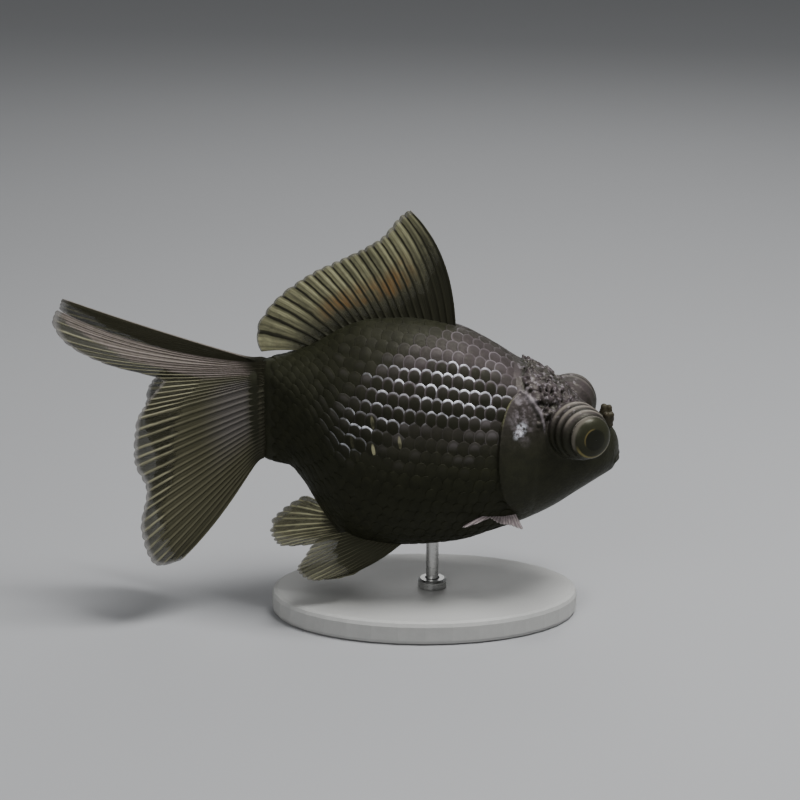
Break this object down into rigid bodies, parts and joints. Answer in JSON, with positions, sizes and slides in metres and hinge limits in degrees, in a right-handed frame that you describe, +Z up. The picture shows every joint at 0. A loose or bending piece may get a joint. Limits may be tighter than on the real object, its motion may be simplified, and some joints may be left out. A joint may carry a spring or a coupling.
{
  "type": "black telescope goldfish model",
  "caption": "Life-size still model of a black telescope goldfish: deep scaled body, bulging ringed eyes, divided tail and tall back fin, held over an oval base by a rod.",
  "frame": {"origin": "centre of the underside of the stand's base, where it meets the floor", "axes": "+X towards the fish's snout, +Y towards its left side, +Z up"},
  "size_m": [0.141, 0.05, 0.1044],
  "materials": {
    "bare_skin": "satin, as wet skin",
    "scaled_skin": "pearly scales",
    "fin": "thin membrane with rays",
    "eye": "clear and wet",
    "stand_paint": "plain matt paint",
    "stand_steel": "brushed"
  },
  "bodies": {
    "root": {"head": "bare_skin", "trunk": "scaled_skin", "tail_stem": "scaled_skin", "gill_cover_left": "bare_skin", "gill_cover_right": "bare_skin", "eye_stalk_left": "bare_skin", "eye_stalk_right": "bare_skin", "eye_left": "eye", "eye_right": "eye", "lip_upper": "bare_skin", "lip_lower": "bare_skin", "nostril_flap_left": "bare_skin", "nostril_flap_right": "bare_skin", "dorsal_fin": "fin", "tail_upper_lobe_left": "fin", "tail_upper_lobe_right": "fin", "tail_lower_lobe_left": "fin", "tail_lower_lobe_right": "fin", "pectoral_fin_left": "fin", "pectoral_fin_right": "fin", "pelvic_fin_left": "fin", "pelvic_fin_right": "fin", "anal_fin_left": "fin", "anal_fin_right": "fin", "stand_base": "stand_paint", "stand_rod": "stand_steel", "stand_collar": "stand_steel"}
  },
  "joints": []
}
